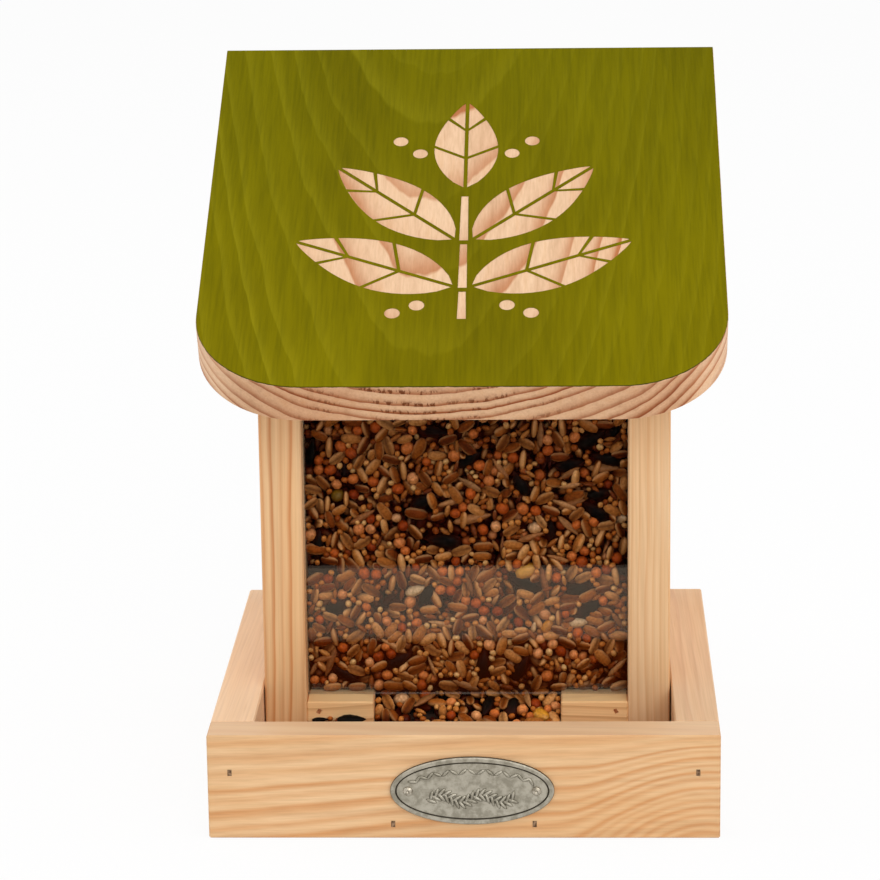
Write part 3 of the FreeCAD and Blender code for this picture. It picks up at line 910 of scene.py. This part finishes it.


# seed: loose grains packed against the pane, over the heap, in the outlet and in the trough
# size in millimetres, share of the draws, outline between the two tips, display colours; dent is the
# depth of the crease, flat ones lie on their broad side, rim is the pale colour along their edges, partly their
# own and partly a painted highlight
seedKinds = dict(
    wheat=dict(
        size=(6.6, 3.4, 2.9), share=0.30, sides=10, dent=0.34, flat=True, rough=0.4, shine=0.03,
        outline=[(-0.92, 0.5), (-0.58, 0.9), (0.05, 1), (0.62, 0.84), (0.93, 0.46)],
        colours=[(126, 54, 10), (168, 95, 33), (199, 129, 62), (230, 168, 102)],
        mark=(66, 22, 4), rim=(242, 190, 128)),
    sorghum=dict(
        size=(4.3, 4.0, 3.7), share=0.11, sides=9, rough=0.34, shine=0.08,
        outline=[(-0.8, 0.58), (-0.3, 0.97), (0.3, 0.96), (0.78, 0.6)],
        colours=[(154, 58, 13), (211, 104, 39), (234, 140, 72), (249, 181, 121)], mark=(80, 34, 14)),
    millet=dict(
        size=(2.5, 2.2, 2.0), share=0.46, sides=7, rough=0.38, shine=0.12,
        outline=[(-0.62, 0.78), (0.1, 1), (0.7, 0.7)],
        colours=[(144, 66, 13), (196, 112, 41), (230, 157, 79), (250, 205, 136)], mark=(110, 62, 24)),
    canary=dict(
        size=(4.8, 2.0, 1.8), share=0.12, sides=6, rough=0.4, shine=0.12,
        outline=[(-0.55, 0.74), (0, 1), (0.55, 0.74)],
        colours=[(120, 53, 11), (168, 96, 34), (220, 154, 82)], mark=(214, 178, 128)),
    sunflower=dict(
        size=(11.0, 5.0, 3.4), share=0.012, sides=10, flat=True, rough=0.5, shine=0.05,
        outline=[(-0.9, 0.46), (-0.5, 0.94), (-0.1, 1), (0.4, 0.72), (0.82, 0.3)],
        colours=[(7, 4, 2), (11, 8, 5), (18, 13, 9)], mark=(30, 23, 15)),
    oat=dict(
        size=(10.0, 2.6, 2.0), share=0.026, sides=6, dent=0.2, flat=True, rough=0.55, shine=0.2,
        outline=[(-0.7, 0.66), (-0.2, 1), (0.35, 0.82), (0.8, 0.36)],
        colours=[(152, 92, 46), (184, 122, 68), (210, 156, 100)], mark=(134, 88, 44)),
    maize=dict(
        size=(7.4, 5.4, 4.0), share=0, sides=9, dent=0.15, flat=True, rough=0.35, shine=0.35,
        outline=[(-0.94, 0.7), (-0.6, 1), (0.15, 1), (0.72, 0.72)],
        colours=[(214, 138, 20), (230, 164, 44)], mark=(228, 170, 66)),
    pea=dict(
        size=(6.4, 6.0, 5.8), share=0, sides=12, rough=0.5, shine=0.12,
        outline=[(-0.9, 0.42), (-0.55, 0.84), (0, 1), (0.55, 0.84), (0.9, 0.42)],
        colours=[(232, 172, 118), (244, 196, 144)], mark=(180, 124, 88)),
    safflower=dict(
        size=(7.2, 3.8, 3.0), share=0.003, sides=8, flat=True, rough=0.45, shine=0.12,
        outline=[(-0.84, 0.56), (-0.35, 1), (0.3, 0.84), (0.8, 0.4)],
        colours=[(236, 198, 146), (250, 224, 180)], mark=(190, 146, 100)),
    vetch=dict(
        size=(4.8, 4.4, 4.0), share=0, sides=9, rough=0.4, shine=0.25,
        outline=[(-0.8, 0.6), (-0.25, 1), (0.3, 0.96), (0.8, 0.58)],
        colours=[(132, 100, 12), (146, 112, 22)], mark=(70, 54, 26)),
)
seedLook = dict(
    draw=7,  # start of the random draws
    packing=dict(outlet=0.36, strewn=0.05, other=0.5),  # share of the room that the grains fill
    plump=0.85,  # a grain's volume as a share of its ellipsoid's
    vary=0.10,  # spread of size within a kind
    sizes=(0.75, 1.3),  # smallest and largest
    shownGap=0.2,  # before the grains that stand out, in millimetres
    rounds=42,  # of pushing overlapping grains apart
    fresh=6,  # rounds between two searches for neighbours
    slack=0.6 * mm,  # how far past touching the search goes
    beads=(0.4, 0.8),  # least reach and size of a grain's end beads, by the radius of its middle one
    push=0.45,  # share of an overlap that each grain gives way by
    press=0.02 * mm,  # towards the open face, each round
    lean=0.22,  # how far the grains tip out of the face
    rock=1.6,  # how far flat ones roll
    stripe=0.55,  # of flat grains with no crease
    rimShow=0.75,
    markShow=0.7,
    paintedShadeDepths=(0.1 * mm, 3.2 * mm),  # depths between which the mass of seed is painted dark as shade
    paintedShadeEnd=(5 * mm, 1.5 * mm),  # below the top of the grains at the pane, where the painted shade stops
    paintedShadeColour=srgb(72, 18, 2),  # painted shade colour of the grains that lie deep
    # way of the painted light on a grain, and what its colour is multiplied by on the painted-lit upper side and
    # on the painted-shaded lower side
    paintedLightAndShade=((-0.2, -0.3, 0.93), (1.26, 1.24, 1.22, 1.0), (0.72, 0.58, 0.4, 1.0)),
    # heights over which the painted light on the grains behind the pane starts and fades, its strength, and the
    # darker tone painted on the grains below it
    paintedLightBand=((29 * mm, 37 * mm), (40 * mm, 125 * mm), 0.24, 0.89),
)
# grains that stand out: kind, place across and up the room in millimetres, turn in degrees, size, and
# any lift in millimetres and tilt in degrees
showSeeds = dict(
    pane=[
        ("maize", 76.0, 43.3, 20, 1.1), ("maize", 83.2, 23.4, 60, 0.75), ("pea", 31.4, 62.4, 0, 0.56),
        ("vetch", 11.3, 70.4, 15, 1.1), ("safflower", 37.6, 36.3, 18, 1.1),
        ("safflower", 78.4, 23.2, 80, 0.55), ("pea", 79.0, 58.5, 0, 0.82),
        ("oat", 57.5, 62.1, 12, 1.5), ("safflower", 93.9, 24.6, 5, 1.0),
        ("oat", 29.8, 16.4, 150, 1.1), ("oat", 102.6, 80.0, 0, 1.2), ("oat", 81.1, 91.8, 88, 1.0),
        ("sunflower", 98.5, 90.3, 30, 1.1), ("sunflower", 103.6, 83.1, 165, 1.1),
        ("sunflower", 91.3, 81.1, 10, 1.0), ("sunflower", 47.2, 53.9, 172, 1.2),
        ("sunflower", 41.6, 68.7, 20, 1.0), ("sunflower", 56.9, 83.1, 35, 0.9),
        ("sunflower", 61.0, 9.7, 85, 1.1), ("sunflower", 73.9, 8.2, 60, 1.0),
        ("sunflower", 31.8, 11.3, 30, 1.0), ("sunflower", 4.1, 53.4, 80, 1.0),
        ("sunflower", 94.4, 36.9, 15, 1.0)],
    outlet=[("pea", 9.2, 3.9, 0, 1.0), ("maize", 58.0, 12.0, 35, 0.9), ("oat", 17.4, 4.9, 140, 1.1)],
    leftTrough=[("sunflower", 21.2, 32.4, 4, 0.55, 1.8, 18), ("sunflower", 32.6, 32.6, -4, 0.95, 2.4, 18)],
)


def seedSize(kind):
    return np.array(seedKinds[kind]["size"]) * mm


def paneTop():
    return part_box("seed_fill")[1].z - heapLook["crown"]


def seedForm(name, look):
    sides, dent = look["sides"], look.get("dent", 0)
    stripe = seedLook["stripe"] if "flat" in look and not dent else 0.0
    form = bmesh.new()
    mark = form.verts.layers.float.new("mark")
    rim = form.verts.layers.float.new("rim")
    rings = []
    for place, radius in [(-1, 0), *look["outline"], (1, 0)]:
        rings.append([])
        for step in range(sides if radius else 1):
            turn = 2 * math.pi * (step + 0.5) / sides
            below = max(0.0, -math.sin(turn)) ** 6  # 1 along the crease
            sink = 1 - dent * below
            vertex = form.verts.new((place, radius * math.cos(turn), radius * math.sin(turn) * sink))
            vertex[rim] = abs(math.cos(turn)) ** 7
            vertex[mark] = max(below * bool(dent), stripe * (step % 2), float(place == 1))
            rings[-1].append(vertex)
    bridge(form, rings)
    return meshFromBmesh(name, form)


def seedFinish(name, look):
    material, pen = newMaterial("seed_" + name)
    place = pen.coordinate("Object")
    height = pen.axis(place, "Z")
    last = len(look["colours"]) - 1
    stops = [(index / last, srgb(*colour)) for index, colour in enumerate(look["colours"])]
    colour = pen.ramp(pen.attribute("tint"), *stops)
    mottle = pen.noise(place, 1100, 3, 0.6)
    colour = pen.tone(colour, pen.ramp(mottle, (0.3, srgb(196, 184, 170)), (0.62, white)))
    # pale edges: partly the grain's own tone and partly a painted highlight
    if "rim" in look:
        colour = pen.mix(pen.times(pen.attribute("rim"), seedLook["rimShow"]), colour, srgb(*look["rim"]))
    colour = pen.mix(pen.times(pen.attribute("mark"), seedLook["markShow"]), colour, srgb(*look["mark"]))
    # painted light and shade: sides facing up are painted paler, lower sides darker
    way, upper, under = seedLook["paintedLightAndShade"]
    facing = pen.vector("DOT_PRODUCT", pen.coordinate("Normal"), way)
    colour = pen.tone(colour, pen.mix(pen.spread(facing, -0.2, 0.95), under, upper))

    # painted shade: grains lying deeper behind the open face are painted darker, except near the top of the
    # grains at the pane
    depth = pen.vector("DOT_PRODUCT", place, pen.attribute("inward", "Vector"))
    deep = pen.spread(pen.calc("SUBTRACT", depth, pen.attribute("level")), *seedLook["paintedShadeDepths"])
    low, high = [paneTop() - drop for drop in seedLook["paintedShadeEnd"]]
    colour = pen.mix(pen.times(deep, pen.spread(height, low, high, 1, 0)), colour, seedLook["paintedShadeColour"])
    # painted light: grains behind the pane are painted paler in a band above its foot, and darker below it
    foot, fade, paintedLightBand, below = seedLook["paintedLightBand"]
    paler = pen.times(pen.spread(height, *foot), pen.spread(height, *fade, paintedLightBand, 0))
    level = pen.plus(paler, pen.spread(height, *foot, below, 1.0))
    colour = pen.out("VectorMath", {0: colour, "Scale": level}, operation="SCALE")
    pen.paint(colour, look["rough"], (mottle, 0.3, 0.1 * mm), look["shine"])
    return material


def drawSeeds(room, fill, draws):
    # kinds in their shares until the grains fill the room
    names = list(seedKinds)
    shares = np.array([seedKinds[name]["share"] for name in names])
    volumes = np.array([math.pi / 6 * np.prod(seedSize(name)) * seedLook["plump"] for name in names])
    shares = shares / shares.sum()
    count = int(np.prod(room) * fill / (shares @ volumes))
    return [names[pick] for pick in draws.choice(len(names), count, p=shares)]


def neighbours(points, radii, owners):
    tree = kdtree.KDTree(len(points))
    for index, point in enumerate(points):
        tree.insert(point, index)
    tree.balance()
    reach = float(radii.max()) + seedLook["slack"]
    pairs = [(index, other) for index, point in enumerate(points)
             for _, other, _ in tree.find_range(point, float(radii[index]) + reach)
             if other > index and owners[index] != owners[other]]
    return np.array(pairs)


def settle(room, halves, centres, axes, free):
    # each grain is a row of beads; overlapping beads push their grains apart and turn them
    least, small = seedLook["beads"]
    beads = []
    for index, (length, width, thick) in enumerate(halves):
        radius = (width + thick) / 2
        reach = length - radius
        if reach < least * radius:
            beads.append((index, 0, radius))
        else:
            beads += [(index, -reach, small * radius), (index, 0, radius), (index, reach, small * radius)]
    owners, offsets, radii = [np.array(column) for column in zip(*beads)]
    beadCount = np.bincount(owners)
    lever = np.bincount(owners, offsets ** 2) + 1e-9
    for turn in range(seedLook["rounds"]):
        points = centres[owners] + axes[owners] * offsets[:, None]
        if turn % seedLook["fresh"] == 0:
            pairs = neighbours(points, radii, owners)
        first, second = pairs.T
        apart = points[second] - points[first]
        distance = np.linalg.norm(apart, axis=1) + 1e-9
        overlap = np.maximum(radii[first] + radii[second] - distance, 0)
        push = apart * (seedLook["push"] * overlap / distance)[:, None]
        inside = np.clip(points, radii[:, None], np.maximum(room - radii[:, None], radii[:, None]))
        moves = inside - points
        for way in range(3):
            moves[:, way] += np.bincount(second, push[:, way], len(points))
            moves[:, way] -= np.bincount(first, push[:, way], len(points))
            centres[:, way] += free * np.bincount(owners, moves[:, way]) / beadCount
            axes[:, way] += free * np.bincount(owners, moves[:, way] * offsets) / lever
        centres[:, 2] -= free * seedLook["press"]
        axes /= np.linalg.norm(axes, axis=1)[:, None]
    return centres, axes


def packRoom(name, room, draws):
    shown = showSeeds.get(name, [])
    fill = seedLook["packing"].get(name, seedLook["packing"]["other"])
    kinds = [row[0] for row in shown] + drawSeeds(room, fill, draws)
    count = len(kinds)
    halves = np.array([seedSize(kind) for kind in kinds]) / 2
    halves *= np.clip(draws.normal(1, seedLook["vary"], (count, 1)), *seedLook["sizes"])
    centres = draws.random((count, 3)) * room
    axes = draws.normal(size=(count, 3)) * (1, 1, seedLook["lean"])
    axes /= np.linalg.norm(axes, axis=1)[:, None]
    free = np.ones(count)
    for index, (kind, across, up, *rest) in enumerate(shown):
        turn, scale, lift, tilt = (*rest, 0, 0)[:4]
        turn, tilt = math.radians(turn), math.radians(-tilt)
        halves[index] = seedSize(kind) / 2 * scale
        centres[index] = (across * mm, up * mm, halves[index][2] + (seedLook["shownGap"] - lift) * mm)
        axes[index] = Matrix.Rotation(tilt, 3, "Y") @ Vector((math.cos(turn), math.sin(turn), 0))
        free[index] = 0
    centres, axes = settle(np.array(room), halves, centres, axes, free)
    rolls = draws.random(count)
    tints = draws.random(count)
    return kinds, halves, centres, axes, rolls, tints


def worldSeeds(packed, origin, across, up, inward):
    # grains from a room's own axes to the part's
    basis = Matrix((across, up, inward)).transposed()
    origin = Vector(origin)
    for kind, half, centre, axis, roll, tint in zip(*packed):
        long = Vector(axis)
        thin = zWay - long * axis[2]
        thin = thin.normalized() if thin.length > 0.05 else long.orthogonal().normalized()
        swing = 2 * math.pi * roll
        if "flat" in seedKinds[kind]:
            swing = math.pi * (roll > 0.5) + seedLook["rock"] * (roll % 0.5 - 0.25)
        thin = Matrix.Rotation(swing, 3, long) @ thin
        turned = basis @ Matrix((long, thin.cross(long), thin)).transposed()
        yield kind, dict(place=origin + basis @ Vector(centre), turn=turned.to_euler(), swell=half,
                         tint=tint, inward=inward, level=inward.dot(origin))


heapLook = dict(
    # angles of the loose seed: down from the outlet, beyond its two sides, and down at the left side
    front=30,
    left=20,
    right=38,
    leftFront=22,
    blend=7 * mm,  # from the outlet's slope to the left side's
    paneGap=0.2 * mm,
    lip=(3 * mm, 1 * mm),  # top of the outlet's slope, behind the pane and above its foot
    paneDeep=11 * mm,
    deep=8 * mm,
    strewn=4 * mm,
    crown=8.5 * mm,  # of the crest above the grains at the pane
    slopeStart=9 * mm,
    slopeDeep=6 * mm,
    backDrop=3 * mm,
)


def seedRooms(look):
    # name, size (across, along, deep), origin and the three ways, from the pieces that hold the seed
    pane, rail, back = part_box("front_pane"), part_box("front_rail"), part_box("back_board")
    block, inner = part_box("right_stop_block"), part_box("right_wall")[0].x
    crestHeight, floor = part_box("seed_fill")[1].z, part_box("floor_board")[1]
    outlet, gap, railBack = block[0].x, block[0].y - rail[1].y, rail[1].y
    paneBack, paneFoot, top = pane[1].y + look["paneGap"], pane[0].z, paneTop()
    size = (2 * inner, top - paneFoot, look["paneDeep"])
    rooms = [("pane", size, (-inner, paneBack, paneFoot), xWay, zWay, yWay)]

    fall = math.radians(look["front"])
    down, into = Vector((0, -math.cos(fall), -math.sin(fall))), Vector((0, math.sin(fall), -math.cos(fall)))
    lip = Vector((-outlet, paneBack + look["lip"][0], paneFoot + look["lip"][1]))
    run = (lip.z - floor.z) / math.sin(fall)
    rooms.append(("outlet", (2 * outlet, run, look["deep"]), lip, xWay, down, into))

    for name, way in (("left", -1), ("right", 1)):
        side = math.radians(look[name])
        reach = min((floor.x - outlet) / math.cos(side), (lip.z - floor.z) / math.sin(side))
        foot = Vector((way * (outlet + reach * math.cos(side)), railBack, lip.z - reach * math.sin(side)))
        corner = foot if way < 0 else Vector((outlet, railBack, lip.z))
        along = Vector((math.cos(side), 0, -way * math.sin(side)))
        rooms.append((name + "Trough", (reach, gap, look["deep"]), corner, along, yWay, yWay.cross(along)))
    size = (2 * floor.x, gap, look["strewn"])
    rooms.append(("strewn", size, (-floor.x, railBack, floor.z), xWay, yWay, zWay))

    crest = (paneBack + back[0].y) / 2
    slopes = dict(frontSlope=(paneBack + look["slopeStart"], crest, top, crestHeight),
                  backSlope=(crest, back[0].y, crestHeight, top - look["backDrop"]))
    for name, (near, far, nearHeight, farHeight) in slopes.items():
        along = Vector((0, far - near, farHeight - nearHeight))
        way = along.normalized()
        size = (2 * inner, along.length, look["slopeDeep"])
        rooms.append((name, size, (-inner, near, nearHeight), xWay, way, way.cross(xWay)))
    return rooms


def laidDown(rows, look):
    # the sides of the heap sink to its front slope, and what would lie in the floor is left out
    pane, floor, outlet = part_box("front_pane"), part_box("floor_board")[1].z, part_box("right_stop_block")[0].x
    lipBack, lipHeight = pane[1].y + look["paneGap"] + look["lip"][0], pane[0].z + look["lip"][1]
    for kind, row in rows:
        x, y = row["place"].xy
        beyond, fall = max(abs(x) - outlet, 0), look["front"]
        if x < 0:
            fall -= min(beyond / look["blend"], 1) * (fall - look["leftFront"])
        sides = lipHeight - beyond * math.tan(math.radians(look["left" if x < 0 else "right"]))
        front = lipHeight - (lipBack - y) * math.tan(math.radians(fall))
        sunk = max(sides - front, 0)
        row["place"].z -= sunk
        row["level"] -= row["inward"].z * sunk
        if row["place"].z > floor + 0.5 * min(row["swell"]):
            yield kind, row


coreLook = dict(
    skin=0.3 * mm,  # clear of the boards
    start=9 * mm,  # behind the pane
    sunk=(15 * mm, 7 * mm, 18 * mm),  # below the heap's top at the front, the crest and the back
    outlet=(20 * mm, 8 * mm),  # ahead of the pane, and below its foot
    spill=(14 * mm, 16 * mm, 6 * mm),  # beyond the outlet, ahead of the blocks, and up
    # dark colours: painted shade of the seed mass
    colours=[(0.35, srgb(30, 16, 8)), (0.7, srgb(74, 44, 24))],
    rough=0.9,
)


def makeCore(look):
    # the mass inside the heap, below the grains that show, painted dark as the shade among deep grains
    pane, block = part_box("front_pane"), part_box("right_stop_block")
    skin, top = look["skin"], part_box("seed_fill")[1].z
    low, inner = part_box("floor_board")[1].z + skin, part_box("right_wall")[0].x - skin
    front, rear = pane[1].y + look["start"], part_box("back_board")[0].y
    frontSunk, crestSunk, backSunk = look["sunk"]
    ahead, under = look["outlet"]
    beyond, spill, rise = look["spill"]
    ledge, blockFace = pane[0].z - under, block[0].y - skin
    # half width, and outline back and up
    profiles = [
        (inner, [(front, low), (rear - skin, low), (rear - skin, top - backSunk),
                 ((front + rear) / 2, top - crestSunk), (front, top - frontSunk)]),
        (block[0].x - skin, [(pane[1].y - ahead, low), (front, low), (front, ledge), (pane[1].y, ledge)]),
        (block[0].x + beyond, [(block[0].y - spill, low), (blockFace, low), (blockFace, low + rise)]),
    ]
    form = bmesh.new()
    for half, profile in profiles:
        ends = [[form.verts.new((x, y, z)) for y, z in profile] for x in (-half, half)]
        bridge(form, ends, ends)
    material, pen = newMaterial("seedShade")
    cloud = pen.noise(pen.coordinate("Object"), 420, 3, 0.6)
    pen.paint(pen.ramp(cloud, *look["colours"]), look["rough"])
    mesh = meshFromBmesh("seed_core", form, smooth=False)
    core = addPiece("seed_core", mesh, material, "feeder", "mixed_seed")
    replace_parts(core, "seed_fill")


def makeSeeds():
    draws = np.random.default_rng(seedLook["draw"])
    groups = dict(seed=[], heap=[])
    for name, room, origin, *ways in seedRooms(heapLook):
        packed = packRoom(name, room, draws)
        rows = list(worldSeeds(packed, origin, *ways))
        if "Trough" in name:
            rows = list(laidDown(rows, heapLook))
        if name == "strewn":
            rows = [(kind, {**row, "level": row["level"] + room[2]}) for kind, row in rows]
        groups["heap" if "Slope" in name else "seed"] += rows
        print("seed packed:", name, len(packed[0]))
    for kind, look in seedKinds.items():
        finish = seedFinish(kind, look)
        for group, grains in groups.items():
            rows = [row for name, row in grains if name == kind]
            if rows:
                mesh = scatter(f"{group}_{kind}", seedForm(kind, look), finish, rows)
                addPiece(f"{group}_{kind}", mesh, finish, "feeder", "mixed_seed")


makeCore(coreLook)
makeSeeds()
print("seed laid")
